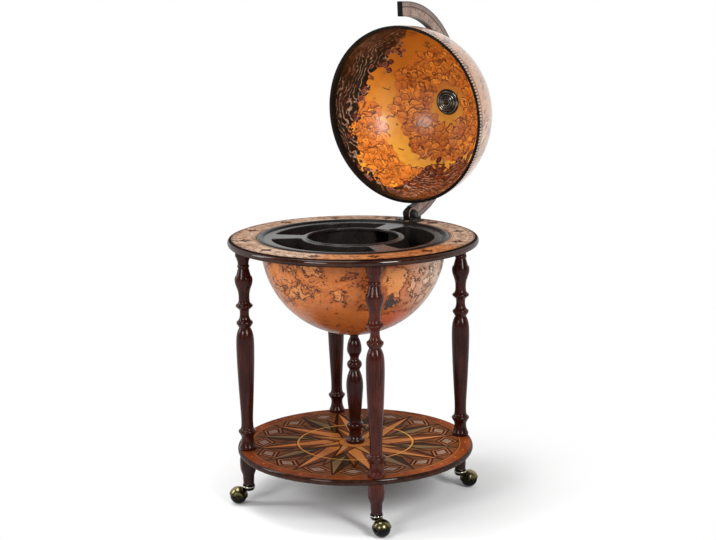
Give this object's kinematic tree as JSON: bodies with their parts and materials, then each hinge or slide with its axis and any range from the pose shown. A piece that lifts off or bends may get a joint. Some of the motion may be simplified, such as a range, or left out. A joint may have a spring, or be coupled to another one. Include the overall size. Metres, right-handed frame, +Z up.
{
  "type": "globe drinks cabinet",
  "caption": "Floor-standing globe bar: a hinged globe lid opens over a round table ring with a bottle bowl and glass tray, on turned legs with a lower shelf and casters.",
  "frame": {"origin": "on the floor under the middle of the table ring", "axes": "+Z up, +Y towards the hinge at the back, -Y the front, +X to the right"},
  "size_m": [0.586, 0.7834, 1.1681],
  "materials": {
    "printed_ring": "lacquered printed top with a dark moulded edge",
    "dark_wood": "dark red-brown gloss lacquer",
    "printed_shelf": "lacquered printed top with a dark edge",
    "printed_globe": "printed antique map under gloss lacquer",
    "printed_dome": "printed inside and out under gloss lacquer",
    "tray_black": "black gloss",
    "rim_black": "black-brown gloss lacquer",
    "arc_print": "printed sides with black edges",
    "bronze": "dark antique bronze",
    "antique_brass": "worn antique brass",
    "steel": "plain bright steel",
    "black_metal": "black paint",
    "ball_black": "hard black gloss",
    "plain_wood": "plain"
  },
  "bodies": {
    "stand": {"table_ring": "printed_ring", "rim_hoop": "dark_wood", "serving_tray": "tray_black", "lower_bowl": "printed_globe", "bottle_floor": "tray_black", "floor_block": "plain_wood", "bowl_bolt": "steel", "centre_pillar": "dark_wood", "pillar_screw": "steel", "lower_shelf": "printed_shelf", "hinge_plate_left": "black_metal", "hinge_plate_right": "black_metal", "hinge_pin": "bronze", "hinge_nut": "bronze", "lid_rest": "rim_black", "hinge_screws": "bronze", "leg_dowels": "plain_wood", "leg_studs": "steel", "leg_right_back": "dark_wood", "foot_right_back": "dark_wood", "caster_socket_right_back": "steel", "leg_left_back": "dark_wood", "foot_left_back": "dark_wood", "caster_socket_left_back": "steel", "leg_left_front": "dark_wood", "foot_left_front": "dark_wood", "caster_socket_left_front": "steel", "leg_right_front": "dark_wood", "foot_right_front": "dark_wood", "caster_socket_right_front": "steel"},
    "lid_arm": {"meridian_arc": "arc_print", "pole_bolt": "bronze", "pole_spacer": "rim_black", "pole_nut": "bronze"},
    "dome": {"dome_shell": "printed_dome", "dome_rim_band": "rim_black", "pole_cap": "bronze"},
    "caster_right_back": {"caster_hood_right_back": "antique_brass", "caster_axle_right_back": "antique_brass"},
    "ball_right_back": {"caster_ball_right_back": "ball_black"},
    "caster_left_back": {"caster_hood_left_back": "antique_brass", "caster_axle_left_back": "antique_brass"},
    "ball_left_back": {"caster_ball_left_back": "ball_black"},
    "caster_left_front": {"caster_hood_left_front": "antique_brass", "caster_axle_left_front": "antique_brass"},
    "ball_left_front": {"caster_ball_left_front": "ball_black"},
    "caster_right_front": {"caster_hood_right_front": "antique_brass", "caster_axle_right_front": "antique_brass"},
    "ball_right_front": {"caster_ball_right_front": "ball_black"}
  },
  "joints": [
    {"name": "lid_hinge", "type": "hinge", "parent": "stand", "child": "lid_arm", "pos_m": [0, 0.24504, 0.653], "axis": [1, 0, 0], "range_deg": [0, 86]},
    {"name": "dome_turn", "type": "hinge", "parent": "lid_arm", "child": "dome", "pos_m": [0, 0.21447, 0.8965], "axis": [0, 0.9976, 0.0698], "continuous": true},
    {"name": "swivel_right_back", "type": "hinge", "parent": "stand", "child": "caster_right_back", "pos_m": [0.18279, 0.18279, 0.049], "axis": [0, 0, 1], "continuous": true},
    {"name": "roll_right_back", "type": "hinge", "parent": "caster_right_back", "child": "ball_right_back", "pos_m": [0.19464, 0.2048, 0.02], "axis": [-0.8805, 0.4741, 0], "continuous": true},
    {"name": "swivel_left_back", "type": "hinge", "parent": "stand", "child": "caster_left_back", "pos_m": [-0.18279, 0.18279, 0.049], "axis": [0, 0, 1], "continuous": true},
    {"name": "roll_left_back", "type": "hinge", "parent": "caster_left_back", "child": "ball_left_back", "pos_m": [-0.20444, 0.19529, 0.02], "axis": [-0.5, -0.866, 0], "continuous": true},
    {"name": "swivel_left_front", "type": "hinge", "parent": "stand", "child": "caster_left_front", "pos_m": [-0.18279, -0.18279, 0.049], "axis": [0, 0, 1], "continuous": true},
    {"name": "roll_left_front", "type": "hinge", "parent": "caster_left_front", "child": "ball_left_front", "pos_m": [-0.20359, -0.19666, 0.02], "axis": [0.5548, -0.832, 0], "continuous": true},
    {"name": "swivel_right_front", "type": "hinge", "parent": "stand", "child": "caster_right_front", "pos_m": [0.18279, -0.18279, 0.049], "axis": [0, 0, 1], "continuous": true},
    {"name": "roll_right_front", "type": "hinge", "parent": "caster_right_front", "child": "ball_right_front", "pos_m": [0.20467, -0.19487, 0.02], "axis": [0.4833, 0.8755, 0], "continuous": true}
  ]
}
